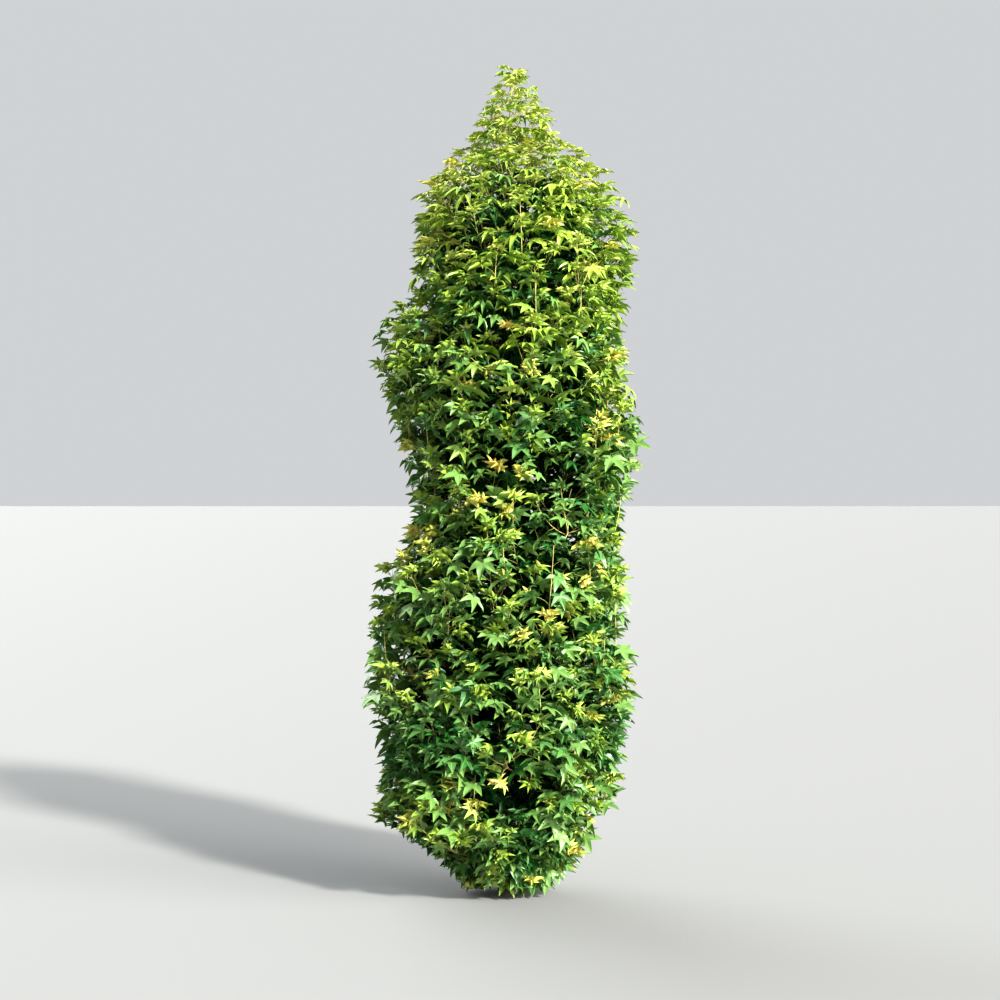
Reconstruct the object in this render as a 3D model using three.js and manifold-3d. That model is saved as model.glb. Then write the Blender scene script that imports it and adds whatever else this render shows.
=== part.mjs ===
// A young columnar sweetgum, leafy from the ground to its tip.
// Millimetres, +Z up, +X to the viewer's right and -Y towards the viewer.
// The origin is the middle of the flat cut under the trunk, at ground level.
import * as THREE from "three";
import { mergeVertices } from "three/addons/utils/BufferGeometryUtils.js";
import Module from "manifold-3d";

const wasm = await Module();
wasm.setup();

// Driving dimensions of the whole tree
const TREE_HEIGHT = 3300;
const JOIN_GAP = 0.3; // between two pieces that meet
const LIMB_CLEARANCE = 1.5; // between a limb and foliage that passes it
const SPACE_GAP = 4; // between the spaces of two masses
const MERGED = 0.02; // corners nearer than this become one
const GROUND_CLEARANCE = 12; // lowest that a leaf hangs

// Crown outline about the trunk: height, reach to the left and reach to the right
const CROWN_OUTLINE = [
  [0, 160, 170],
  [170, 330, 345],
  [320, 560, 415],
  [550, 560, 500],
  [760, 600, 525],
  [1100, 580, 465],
  [1290, 560, 470],
  [1440, 420, 500],
  [1600, 410, 520],
  [1770, 450, 560],
  [2080, 560, 495],
  [2290, 500, 490],
  [2450, 410, 530],
  [2620, 400, 530],
  [2780, 385, 470],
  [2890, 330, 390],
  [2990, 180, 240],
  [3160, 110, 140],
  [3300, 60, 60],
];

// The trunk, or leader, from the flat cut at the ground to its tip
const TRUNK = {
  height: 2880,
  footRadius: 25,
  tipRadius: 5.5,
  flareRadius: 17, // added at the ground by the root flare
  flareHeight: 60, // over which most of the flare is lost
  buttresses: 5,
  buttressDepth: 0.16, // share of the flare's radius
  sway: 14, // sideways wander of the leader
  swayLength: 2300,
  sides: 12,
  rings: 14,
  ringSpread: 1.8, // above 1 it sets the rings closer together at the foot
};

// The boughs, in a rising spiral about the trunk, each with a mass of foliage
const BOUGHS = {
  count: 25,
  lowest: 125, // heights of the middles of the lowest and highest masses
  highest: 2860,
  spiral: THREE.MathUtils.degToRad(137.508),
  firstAzimuth: THREE.MathUtils.degToRad(240),
  rise: 300, // from a bough's root to the middle of its mass
  riseShare: 0.6, // of the mass's height, where that is less
  tipRise: 0.68, // share of the rise that the bough itself takes
  tipReach: 0.4, // share of the crown's reach
  rootRadius: 10,
  tipRadius: 6.5,
  topScale: 0.6, // thickness of the highest bough beside the lowest
  collar: 0.35, // swelling where it leaves the trunk
  sides: 5,
  segments: 2,
};

// The mass round the leader's top, which grows from the trunk's tip
const LEADER = {
  azimuth: THREE.MathUtils.degToRad(300),
  middle: 190, // height of its middle above the trunk's tip
  belowTip: 35, // the stem's end below the tree's tip
  leafShare: 1.7, // of the leaves that its reach alone would give it
};

// A mass's twigs, all of which branch from its one stem
const TWIGS = {
  stemReach: 0.7, // share of the crown's reach at the stem's end
  stemRise: 230, // above the mass's middle
  belowTop: 190, // the least that a bough's stem ends below the tree's tip
  middleReach: 0.59, // share of the crown's reach at the mass's middle
  tipRadius: 4.6,
  sides: 3,
  stemSegments: 2,
  segments: 1,
  perMass: 2,
  lowest: 0.3, // share of the way up the stem
  highest: 0.85,
  length: 250,
  spread: 0.95, // how far a twig leans out from its stem, beside its rise
  endReach: 0.84, // share of the crown's reach at which a twig ends
};

// The core of a mass, where its twigs and inner leaves are too dense to see through.
// Its corners lie at shares of the way from the mass's middle to the edge of its space.
const CORE = {
  share: 0.5,
  pointShare: 0.98, // at the points that stand out from it
  crownShare: 0.92, // the crown's share that counts as that edge
  march: 6, // step of the search for the edge
  stalkRoot: 0.72, // share of the core's radius at which a leaf's stalk is rooted in it
};

// The crown's outer shell as a grid round the trunk, which leaves should cover evenly
const SHELL = {
  columns: 32,
  rowHeight: 80,
  outward: 8, // cells that a place at the outline counts for
};

// Star-shaped leaves, larger than life, as each stands for a spray
const LEAVES = {
  total: 295,
  tries: 600, // places looked at for each leaf
  mostFaces: 42, // that a leaf may add to its mass
  midSize: 150, // from the blade's middle to its longest tip, half way up the tree
  endSize: 70, // and at its foot and its tip
  thickness: 0.034, // share of the size, at the middle of the blade
  stalk: [45, 130], // outside the twig or the core
  stalkDepth: 2.2, // half the height of the stalk's root
  lobeAngles: [0, 62, 124], // degrees from the middle lobe, on both sides
  lobeLengths: [1, 0.94, 0.66],
  notchLength: 0.48,
  baseAngle: 163,
  baseLength: 0.15,
  droop: 0.15, // fall of a tip, as a share of the size
};

const UP = new THREE.Vector3(0, 0, 1);
const clamp = THREE.MathUtils.clamp;
const lerp = THREE.MathUtils.lerp;

// A small seeded generator of numbers from 0 to 1, the same on every run
function seeded(seed) {
  let state = seed * 7919 + 17;
  return () => {
    state = (state * 48271) % 2147483647;
    return state / 2147483647;
  };
}

function horizontal(azimuth) {
  return new THREE.Vector3(Math.cos(azimuth), Math.sin(azimuth), 0);
}

// The trunk's middle line
function trunkAxis(height) {
  const turn = (2 * Math.PI * height) / TRUNK.swayLength;
  const swing = (TRUNK.sway * (1 - Math.cos(turn))) / 2;
  return new THREE.Vector3(swing, (-0.6 * swing * height) / TREE_HEIGHT, height);
}

// The way the trunk points at its tip
function trunkHeading() {
  return trunkAxis(TRUNK.height).sub(trunkAxis(TRUNK.height - 1)).normalize();
}

// How far the crown reaches from the trunk's line at a height, in one direction
function crownReach(height, azimuth) {
  const rows = CROWN_OUTLINE;
  const h = clamp(height, rows[0][0], rows[rows.length - 1][0]);
  const above = Math.max(1, rows.findIndex((row) => row[0] >= h));
  const [low, high] = [rows[above - 1], rows[above]];
  const share = (h - low[0]) / (high[0] - low[0]);
  const left = lerp(low[1], high[1], share);
  const right = lerp(low[2], high[2], share);
  return (left + right) / 2 + ((right - left) / 2) * Math.cos(azimuth);
}

// A point's share of the crown's reach: 0 on the trunk's line, 1 at the outline
function shareOfReach(point) {
  const out = point.clone().sub(trunkAxis(point.z));
  return Math.hypot(out.x, out.y) / crownReach(point.z, Math.atan2(out.y, out.x));
}

// A closed geometry as a solid that can be joined and cut
function solidOf(geometry) {
  const bare = geometry.clone();
  bare.deleteAttribute("normal");
  bare.deleteAttribute("uv");
  const merged = mergeVertices(bare, 1e-3);
  return new wasm.Manifold(
    new wasm.Mesh({
      numProp: 3,
      vertProperties: merged.getAttribute("position").array,
      triVerts: new Uint32Array(merged.index.array),
    }),
  );
}

function geometryOf(solid) {
  const { vertProperties, triVerts } = solid.getMesh();
  const geometry = new THREE.BufferGeometry();
  geometry.setAttribute("position", new THREE.BufferAttribute(vertProperties, 3));
  geometry.setIndex(new THREE.BufferAttribute(triVerts, 1));
  geometry.computeVertexNormals();
  return geometry;
}

// A limb: the rings of a cylinder are set along a line, with a radius for each.
// side is a direction that the line never runs along.
function limbGeometry({ pointAt, radiusAt, side, sides, segments }) {
  const geometry = new THREE.CylinderGeometry(1, 1, 1, sides, segments);
  const position = geometry.getAttribute("position");
  const step = 1e-3;
  for (let i = 0; i < position.count; i++) {
    const share = clamp(position.getY(i) + 0.5, 0, 1);
    const [across, along] = [position.getX(i), -position.getZ(i)];
    const ahead = pointAt(Math.min(1, share + step)).sub(pointAt(Math.max(0, share - step)));
    const second = ahead.clone().cross(side).normalize();
    const first = second.clone().cross(ahead).normalize();
    const radius = radiusAt(share, Math.atan2(along, across));
    const point = pointAt(share)
      .addScaledVector(first, across * radius)
      .addScaledVector(second, along * radius);
    position.setXYZ(i, point.x, point.y, point.z);
  }
  return geometry;
}

// The trunk's solid, which may be grown a little to cut a gap round it
function trunkSolid(grown = 0) {
  const heightAt = (share) => TRUNK.height * share ** TRUNK.ringSpread;
  const radiusAt = (share, angle) => {
    const height = heightAt(share);
    const flare = TRUNK.flareRadius * Math.exp(-height / TRUNK.flareHeight);
    const fluting = 1 + TRUNK.buttressDepth * Math.cos(TRUNK.buttresses * angle);
    return lerp(TRUNK.footRadius, TRUNK.tipRadius, height / TRUNK.height) + flare * fluting + grown;
  };
  return solidOf(
    limbGeometry({
      pointAt: (share) => trunkAxis(heightAt(share)),
      radiusAt,
      side: new THREE.Vector3(1, 0, 0),
      sides: TRUNK.sides,
      segments: TRUNK.rings,
    }),
  );
}

function cornersOf(geometry) {
  const position = geometry.getAttribute("position");
  const corner = (i) => new THREE.Vector3().fromBufferAttribute(position, i);
  return Array.from({ length: position.count }, (_, i) => corner(i));
}

// A point on the middle line of a limb as built, which runs straight from ring to ring
function pointInside(limb, share) {
  const place = share * limb.segments;
  const ring = Math.min(Math.floor(place), limb.segments - 1);
  const [from, to] = [ring, ring + 1].map((i) => limb.pointAt(i / limb.segments));
  return from.lerp(to, place - ring);
}

// Where each bough and its mass lie
function placeMasses() {
  return Array.from({ length: BOUGHS.count }, (_, index) => {
    const share = index / (BOUGHS.count - 1);
    const height = lerp(BOUGHS.lowest, BOUGHS.highest, share);
    const azimuth = BOUGHS.firstAzimuth + index * BOUGHS.spiral;
    const out = horizontal(azimuth);
    const reach = crownReach(height, azimuth);
    const rise = Math.min(BOUGHS.rise, BOUGHS.riseShare * height);
    const rootHeight = height - rise;
    const tipHeight = rootHeight + BOUGHS.tipRise * rise;
    const tip = trunkAxis(tipHeight).addScaledVector(out, BOUGHS.tipReach * reach);
    const centre = trunkAxis(height).addScaledVector(out, TWIGS.middleReach * reach);
    const endHeight = Math.min(height + TWIGS.stemRise, TREE_HEIGHT - TWIGS.belowTop);
    const stemEnd = trunkAxis(endHeight).addScaledVector(
      out,
      TWIGS.stemReach * crownReach(endHeight, azimuth),
    );
    const root = trunkAxis(rootHeight);
    const thickness = lerp(1, BOUGHS.topScale, share);
    const name = `${String(index + 1).padStart(2, "0")}_${sideName(azimuth)}`;
    return { index, name, azimuth, out, reach, root, tip, centre, stemEnd, thickness };
  });
}

// The side of the tree that an azimuth points to, as the viewer sees it
function sideName(azimuth) {
  const quarter = Math.round(azimuth / (Math.PI / 2)) % 4;
  return ["right", "back", "left", "front"][quarter];
}

// The mass round the leader, above the trunk's tip
function leaderMass() {
  const tip = trunkAxis(TRUNK.height);
  return {
    index: BOUGHS.count,
    name: "leader",
    azimuth: LEADER.azimuth,
    out: horizontal(LEADER.azimuth),
    reach: LEADER.leafShare * crownReach(TRUNK.height, LEADER.azimuth),
    tip,
    centre: trunkAxis(TRUNK.height + LEADER.middle),
    stemEnd: trunkAxis(TREE_HEIGHT - LEADER.belowTip),
    thickness: BOUGHS.topScale,
  };
}

// A bough's line leaves the trunk slanting and ends more upright
function boughCurve({ root, tip, out }) {
  const run = tip.clone().sub(root);
  const outward = run.dot(out);
  const bend = root.clone().addScaledVector(out, 0.62 * outward).addScaledVector(UP, 0.34 * run.z);
  return new THREE.QuadraticBezierCurve3(root, bend, tip);
}

// A bough's solid from the trunk's surface to its tip, which may be grown a little
// all round and past the tip
function boughSolid(mass, trunkCutter, grown = 0) {
  const curve = boughCurve(mass);
  const heading = curve.getTangent(1);
  const radiusAt = (share) =>
    mass.thickness *
      lerp(BOUGHS.rootRadius, BOUGHS.tipRadius, share) *
      (1 + BOUGHS.collar * Math.exp(-share / 0.15)) +
    grown;
  const limb = limbGeometry({
    pointAt: (share) => curve.getPoint(share).addScaledVector(heading, share * grown),
    radiusAt,
    side: horizontal(mass.azimuth + Math.PI / 2),
    sides: BOUGHS.sides,
    segments: BOUGHS.segments,
  });
  return largestPiece(solidOf(limb).subtract(trunkCutter));
}

// The stem of a mass goes on from its bough's tip, or from the trunk's, a gap clear. It is
// as long as its space allows.
function stemOf(mass, masses) {
  const heading = mass.root ? boughCurve(mass).getTangent(1) : trunkHeading();
  const start = mass.tip.clone().addScaledVector(heading, JOIN_GAP);
  let stem;
  for (let share = 1; share > 0.2; share *= 0.9) {
    stem = stemTo(start.clone().lerp(mass.stemEnd, share), start, heading, mass);
    if (keepsToSpace(stem, mass, masses)) break;
  }
  return stem;
}

function stemTo(end, start, heading, mass) {
  const bend = start.clone().addScaledVector(heading, 0.45 * end.distanceTo(start));
  const curve = new THREE.QuadraticBezierCurve3(start, bend, end);
  return {
    pointAt: (share) => curve.getPoint(share),
    side: horizontal(mass.azimuth + Math.PI / 2),
    radiusAt: (share) => lerp(BOUGHS.tipRadius * mass.thickness, TWIGS.tipRadius, share),
    sides: TWIGS.sides,
    segments: TWIGS.stemSegments,
  };
}

// A twig leaves the stem at a share of its length, leaning out to one side and rising
function twigOf(mass, stem, share, roll, length) {
  const origin = pointInside(stem, share);
  const along = pointInside(stem, share + 0.05).sub(origin).normalize();
  const heading = mass.out.clone().applyAxisAngle(UP, roll).multiplyScalar(TWIGS.spread);
  heading.addScaledVector(along, 0.55).normalize();
  const line = new THREE.LineCurve3(origin, origin.clone().addScaledVector(heading, length));
  return {
    pointAt: (place) => line.getPoint(place),
    side: heading.clone().cross(UP).normalize(),
    radiusAt: (place) => lerp(TWIGS.tipRadius * 1.5, TWIGS.tipRadius, place),
    sides: TWIGS.sides,
    segments: TWIGS.segments,
  };
}

// The outline of a leaf's blade: shares of its size and angles from the middle lobe.
// It runs from the stalk round the blade and back to the stalk.
function leafOutline() {
  const { lobeAngles, lobeLengths, notchLength, baseAngle, baseLength } = LEAVES;
  const half = [[0, lobeLengths[0]]];
  for (let lobe = 1; lobe < lobeAngles.length; lobe++) {
    half.push([(lobeAngles[lobe - 1] + lobeAngles[lobe]) / 2, notchLength]);
    half.push([lobeAngles[lobe], lobeLengths[lobe]]);
  }
  half.push([baseAngle, baseLength]);
  const mirrored = half.slice(1).map(([angle, length]) => [-angle, length]);
  return [...mirrored.reverse(), ...half];
}

const LEAF_OUTLINE = leafOutline();

// A leaf's corners: the blade's rim, its two faces' middles and the stalk's end
function leafCorners({ root, middle, forward, normal, size }) {
  const across = normal.clone().cross(forward);
  const rim = LEAF_OUTLINE.map(([degrees, length]) => {
    const angle = THREE.MathUtils.degToRad(degrees);
    return middle
      .clone()
      .addScaledVector(forward, Math.cos(angle) * length * size)
      .addScaledVector(across, Math.sin(angle) * length * size)
      .addScaledVector(normal, -LEAVES.droop * length ** 2 * size);
  });
  const half = (LEAVES.thickness * size) / 2;
  return {
    rim,
    top: middle.clone().addScaledVector(normal, half),
    bottom: middle.clone().addScaledVector(normal, -half),
    stalkTop: root.clone().addScaledVector(UP, LEAVES.stalkDepth),
    stalkBottom: root.clone().addScaledVector(UP, -LEAVES.stalkDepth),
  };
}

// A leaf as one closed body of triangles
function leafSolid({ rim, top, bottom, stalkTop, stalkBottom }) {
  const corners = [...rim, top, bottom, stalkTop, stalkBottom];
  const [topAt, bottomAt, stalkTopAt, stalkBottomAt] = [0, 1, 2, 3].map((i) => rim.length + i);
  const last = rim.length - 1;
  const faces = [];
  for (let i = 0; i < last; i++) {
    faces.push([topAt, i, i + 1], [bottomAt, i + 1, i]);
  }
  faces.push([topAt, last, stalkTopAt], [topAt, stalkTopAt, 0]);
  faces.push([bottomAt, stalkBottomAt, last], [bottomAt, 0, stalkBottomAt]);
  faces.push([last, stalkBottomAt, stalkTopAt], [0, stalkTopAt, stalkBottomAt]);
  const geometry = new THREE.BufferGeometry().setFromPoints(corners);
  geometry.setIndex(faces.flat());
  return solidOf(geometry);
}

function leafSize(height) {
  const fromMiddle = Math.abs((2 * height) / TREE_HEIGHT - 1);
  return lerp(LEAVES.midSize, LEAVES.endSize, clamp(fromMiddle, 0, 1) ** 3);
}

// How far a mass's space reaches from its middle in one direction
function spaceRadius(mass, masses, direction) {
  const limit = 4 * LEAVES.midSize;
  for (let distance = CORE.march; distance < limit; distance += CORE.march) {
    const point = mass.centre.clone().addScaledVector(direction, distance);
    const inside = insideCrown(point) && shareOfReach(point) < CORE.crownShare;
    if (!inside || !inSpace(mass, masses, point)) return distance - CORE.march;
  }
  return limit;
}

// The core follows the edge of the mass's space and is cut clear of the limbs. The
// corners of a plain icosahedron stand out as leafy points, and those between lie low.
function coreSolid(mass, masses, limbs) {
  const points = cornersOf(new THREE.IcosahedronGeometry(1, 0));
  const geometry = new THREE.IcosahedronGeometry(1, 1);
  const position = geometry.getAttribute("position");
  cornersOf(geometry).forEach((direction, i) => {
    const isPoint = points.some((point) => point.distanceTo(direction) < 1e-3);
    const share = isPoint ? CORE.pointShare : CORE.share;
    const radius = share * spaceRadius(mass, masses, direction);
    position.setXYZ(i, ...mass.centre.clone().addScaledVector(direction, radius).toArray());
  });
  return largestPiece(solidOf(geometry).subtract(limbs));
}

// A leaf that might grow from one place, on a stalk that leaves it in a given direction.
// The blade faces outward and up, and its middle lobe points outward and down.
function possibleLeaf(root, stalkWay, stalkLength, random) {
  const middle = root.clone().addScaledVector(stalkWay, stalkLength);
  const out = middle.clone().sub(trunkAxis(middle.z)).setZ(0).normalize();
  const normal = out.clone().applyAxisAngle(UP, (random() - 0.5) * 1.1);
  normal.addScaledVector(UP, lerp(0.45, 1.5, random())).normalize();
  const forward = out.clone().applyAxisAngle(UP, (random() - 0.5) * 2.4).addScaledVector(UP, -0.8);
  forward.addScaledVector(normal, -forward.dot(normal)).normalize();
  const size = leafSize(middle.z) * lerp(0.86, 1.06, random());
  return { root, middle, forward, normal, size };
}

function leafOnTwig(twig, random) {
  const root = pointInside(twig, lerp(0.35, 0.98, Math.sqrt(random())));
  const out = root.clone().sub(trunkAxis(root.z)).setZ(0).normalize();
  const stalkWay = out.applyAxisAngle(UP, (random() - 0.5) * 2.6);
  stalkWay.addScaledVector(UP, lerp(-0.5, 0.8, random())).normalize();
  return possibleLeaf(root, stalkWay, lerp(...LEAVES.stalk, random()), random);
}

function leafOnCore(mass, masses, random) {
  const turned = mass.azimuth + (random() - 0.5) * 3.6;
  const direction = horizontal(turned).addScaledVector(UP, lerp(-1.1, 1.3, random())).normalize();
  const radius = CORE.share * spaceRadius(mass, masses, direction);
  const root = mass.centre.clone().addScaledVector(direction, CORE.stalkRoot * radius);
  const stalkWay = direction.clone().addScaledVector(UP, lerp(-0.1, 0.5, random())).normalize();
  const length = (1 - CORE.stalkRoot) * radius + lerp(...LEAVES.stalk, random());
  return possibleLeaf(root, stalkWay, length, random);
}

// A mass's own space is made of the points that are nearer to its middle than to any other's
function inSpace(mass, masses, point, gap = SPACE_GAP) {
  const near = point.distanceTo(mass.centre);
  return masses.every((other) => other === mass || point.distanceTo(other.centre) > near + gap);
}

// Whether a stem or twig lies in its mass's space, with its thickness
function keepsToSpace(limb, mass, masses) {
  const gap = SPACE_GAP + 2 * limb.radiusAt(0);
  return [0.4, 0.7, 1].every((share) => inSpace(mass, masses, limb.pointAt(share), gap));
}

function insideCrown(point) {
  return point.z > GROUND_CLEARANCE && point.z < TREE_HEIGHT && shareOfReach(point) < 1;
}

// Twigs branch from the stem all round, as long as they keep to the mass's space
function growTwigs(mass, masses, limbs, random) {
  const stem = stemOf(mass, masses);
  const twigs = [{ ...stem, body: solidOf(limbGeometry(stem)) }];
  for (let k = 0; k < TWIGS.perMass; k++) {
    const share = lerp(TWIGS.lowest, TWIGS.highest, k / (TWIGS.perMass - 1));
    const roll = (k % 2 ? 1 : -1) * lerp(0.35, 1.5, random());
    for (let length = TWIGS.length; length > TWIGS.length / 4; length *= 0.85) {
      const twig = twigOf(mass, stem, share, roll, length);
      const end = twig.pointAt(1);
      if (!keepsToSpace(twig, mass, masses) || shareOfReach(end) > TWIGS.endReach) continue;
      const body = solidOf(limbGeometry(twig));
      if (end.z < 2 * GROUND_CLEARANCE || !body.intersect(limbs).isEmpty()) continue;
      twigs.push({ ...twig, body });
      break;
    }
  }
  return twigs;
}

function joined(bodies) {
  return bodies.reduce((all, body) => all.add(body));
}

// The largest of a solid's bodies, with no loose scrap and no sealed hollow
function largestPiece(solid) {
  return solid.decompose().sort((a, b) => b.volume() - a.volume())[0];
}

// The cells of the crown's outer shell that a leaf lies in front of
function cellsOf({ rim, top }) {
  const halfway = rim.map((corner) => corner.clone().lerp(top, 0.5));
  const keys = [...rim, ...halfway, top].map((point) => {
    const out = point.clone().sub(trunkAxis(point.z));
    const turn = Math.atan2(out.y, out.x) / (2 * Math.PI) + 0.5;
    return `${Math.floor(turn * SHELL.columns)} ${Math.floor(point.z / SHELL.rowHeight)}`;
  });
  return new Set(keys);
}

// Whether a leaf is rooted in the wood and meets no edge of it: one that misses it adds
// no more than its own faces, and one that crosses an edge or a second twig adds many.
function joinsPlainly(body, woody) {
  const added = woody.add(body).numTri() - woody.numTri();
  return added > body.numTri() && added <= LEAVES.mostFaces;
}

// Leaves are added where they cover most of the shell that is still bare. One that would
// leave the mass's space or the crown, or touch a limb or another leaf, is skipped.
function growLeaves({ mass, masses, limbs, twigs, woody, count, covered, random }) {
  const leaves = [];
  for (let n = 0; n < count; n++) {
    const places = [];
    for (let i = 0; i < LEAVES.tries; i++) {
      const twig = twigs[Math.floor(random() * (twigs.length + (mass.root ? 6 : 0)))];
      const leaf = twig ? leafOnTwig(twig, random) : leafOnCore(mass, masses, random);
      const corners = leafCorners(leaf);
      const blade = [...corners.rim, corners.top, corners.bottom];
      if (!blade.every((corner) => insideCrown(corner) && inSpace(mass, masses, corner))) continue;
      const cells = cellsOf(corners);
      const bare = [...cells].filter((cell) => !covered.has(cell)).length;
      places.push({ score: bare + SHELL.outward * shareOfReach(leaf.middle), corners, cells });
    }
    places.sort((a, b) => b.score - a.score);
    for (const { corners, cells } of places) {
      const body = leafSolid(corners);
      if ([limbs, ...leaves].some((other) => !body.intersect(other).isEmpty())) continue;
      if (!joinsPlainly(body, woody)) continue;
      leaves.push(body);
      cells.forEach((cell) => covered.add(cell));
      break;
    }
  }
  return leaves;
}

const COLOURS = {
  bark: new THREE.Color(0x7d7263),
  bough: new THREE.Color(0x857a5c),
  lowLeaves: new THREE.Color(0x41702a),
  topLeaves: new THREE.Color(0x8aa83a), // young growth is more yellow
};

function foliageColour(mass) {
  const share = clamp(mass.centre.z / TREE_HEIGHT, 0, 1) ** 2;
  return COLOURS.lowLeaves.clone().lerp(COLOURS.topLeaves, share);
}

function piece(name, solid, color, roughness) {
  const material = new THREE.MeshStandardMaterial({ color, roughness, metalness: 0 });
  const mesh = new THREE.Mesh(geometryOf(solid), material);
  mesh.name = name;
  return mesh;
}

function buildTree() {
  const tree = new THREE.Group();
  const boughed = placeMasses();
  const masses = [...boughed, leaderMass()];

  const trunk = trunkSolid();
  tree.add(piece("trunk", trunk, COLOURS.bark, 0.9));

  const trunkCutter = trunkSolid(JOIN_GAP);
  const boughs = boughed.map((mass) => boughSolid(mass, trunkCutter));
  boughed.forEach(({ name }, i) => tree.add(piece(`bough_${name}`, boughs[i], COLOURS.bough, 0.85)));

  const limbs = boughed
    .map((mass) => boughSolid(mass, trunkCutter, LIMB_CLEARANCE))
    .reduce((all, bough) => all.add(bough), trunkSolid(LIMB_CLEARANCE));
  const wholeReach = masses.reduce((sum, mass) => sum + mass.reach, 0);
  const covered = new Set();
  for (const mass of masses) {
    const random = seeded(mass.index + 1);
    const count = Math.round((LEAVES.total * mass.reach) / wholeReach);
    const twigs = growTwigs(mass, masses, limbs, random);
    const core = mass.root ? [coreSolid(mass, masses, limbs)] : [];
    const woody = joined([...core, ...twigs.map((twig) => twig.body)]);
    const leaves = growLeaves({ mass, masses, limbs, twigs, woody, count, covered, random });
    const solid = joined([woody, ...leaves]).simplify(MERGED);
    tree.add(piece(`foliage_${mass.name}`, largestPiece(solid), foliageColour(mass), 0.5));
  }
  return tree;
}

export default buildTree();
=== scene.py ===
# The looks of a young columnar sweetgum: its bark, shoots and leaves, grown by the source's
# own rule and carried on to finer shoots. Metres, +Z up, +X to the viewer's right and -Y
# towards the viewer.
import math

import bpy
import numpy as np
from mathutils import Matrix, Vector


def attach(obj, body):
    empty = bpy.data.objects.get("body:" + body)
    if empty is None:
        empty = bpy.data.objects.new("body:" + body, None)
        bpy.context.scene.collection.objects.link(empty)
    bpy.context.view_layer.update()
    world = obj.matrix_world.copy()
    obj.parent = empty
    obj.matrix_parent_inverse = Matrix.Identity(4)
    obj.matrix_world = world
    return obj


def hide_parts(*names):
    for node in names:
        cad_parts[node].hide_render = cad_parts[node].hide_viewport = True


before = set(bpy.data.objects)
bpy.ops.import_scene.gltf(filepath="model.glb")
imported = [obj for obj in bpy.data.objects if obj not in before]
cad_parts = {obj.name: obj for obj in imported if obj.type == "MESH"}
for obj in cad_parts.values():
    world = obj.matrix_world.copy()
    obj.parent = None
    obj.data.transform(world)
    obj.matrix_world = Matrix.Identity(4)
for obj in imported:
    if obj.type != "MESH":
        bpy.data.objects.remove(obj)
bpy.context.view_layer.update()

# Driving dimensions, the same as the source's
TREE_HEIGHT = 3.3
JOIN_GAP = 0.0003  # between two pieces that meet
SPACE_GAP = 0.004  # between the spaces of two masses
GROUND_CLEARANCE = 0.012  # of the source's leaves

# Crown outline about the trunk in millimetres: height, reach to the left and to the right
CROWN_OUTLINE = np.array([
    [0, 160, 170],
    [170, 330, 345],
    [320, 560, 415],
    [550, 560, 500],
    [760, 600, 525],
    [1100, 580, 465],
    [1290, 560, 470],
    [1440, 420, 500],
    [1600, 410, 520],
    [1770, 450, 560],
    [2080, 560, 495],
    [2290, 500, 490],
    [2450, 410, 530],
    [2620, 400, 530],
    [2780, 385, 470],
    [2890, 330, 390],
    [2990, 180, 240],
    [3160, 110, 140],
    [3300, 60, 60],
]) * 0.001

# The trunk, or leader, from the flat cut at the ground to its tip
TRUNK_HEIGHT = 2.88
TRUNK_FOOT_RADIUS = 0.025
TRUNK_TIP_RADIUS = 0.0055
FLARE_RADIUS = 0.017  # added at the ground by the root flare
FLARE_HEIGHT = 0.06  # over which most of the flare is lost
BUTTRESSES = 5
BUTTRESS_DEPTH = 0.16  # share of the flare's radius
SWAY = 0.014  # sideways wander of the leader
SWAY_LENGTH = 2.3
FORWARD_SWAY = 0.6  # share of it towards the viewer, level with the tree's tip

# The boughs, in a rising spiral about the trunk, each with a mass of foliage
BOUGH_COUNT = 25
LOWEST_MASS = 0.125  # heights of the middles of the lowest and highest masses
HIGHEST_MASS = 2.86
SPIRAL = math.radians(137.508)
FIRST_AZIMUTH = math.radians(240)
RISE = 0.3  # from a bough's root to the middle of its mass
RISE_SHARE = 0.6  # of the mass's height, where that is less
TIP_RISE = 0.68  # share of the rise that the bough itself takes
TIP_REACH = 0.4  # share of the crown's reach
BEND_RUN = 0.62  # shares of a bough's run out and of its rise at which it bends
BEND_RISE = 0.34
BOUGH_ROOT_RADIUS = 0.01
BOUGH_TIP_RADIUS = 0.0065
TOP_SCALE = 0.6  # thickness of the highest bough beside the lowest
COLLAR = 0.35  # swelling where it leaves the trunk

# The mass round the leader's top, which grows from the trunk's tip
LEADER_AZIMUTH = math.radians(300)
LEADER_MIDDLE = 0.19  # height of its middle above the trunk's tip
LEADER_BELOW_TIP = 0.035  # the stem's end below the tree's tip
LEADER_STEP = 0.001  # below the trunk's tip, for the way that it points

# A mass's stem and the twigs that branch from it
STEM_REACH = 0.7  # share of the crown's reach at the stem's end
STEM_RISE = 0.23  # above the mass's middle
STEM_BELOW_TOP = 0.19  # the least that a bough's stem ends below the tree's tip
STEM_BEND = 0.45  # share of its length at which it bends
STEM_TRIES = 16
STEM_SHORTENING = 0.9  # from one try to the next
MIDDLE_REACH = 0.59  # share of the crown's reach at the mass's middle
CHECKED_PLACES = (0.4, 0.7, 1)  # shares along a limb where its mass's space is checked
TWIG_ROOM = 1.5 * 0.0046  # radius that is kept free for the source's twigs
TWIGS_PER_MASS = 2
TWIG_PLACES = (0.3, 0.85)  # shares of the way up the stem
TWIG_ROLLS = (0.35, 1.5)  # least and most turn aside from its bough, in radians
TWIG_STEP = 0.05  # share of the stem, for its direction
TWIG_LENGTH = 0.25
SHORTEST_TWIG = TWIG_LENGTH / 4
TWIG_SHORTENING = 0.85  # from one try to the next
TWIG_SPREAD = 0.95  # how far a twig leans out from its stem, beside its rise
TWIG_ALONG = 0.55  # how far it follows the stem
TWIG_END_REACH = 0.84  # share of the crown's reach at which a twig ends

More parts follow.
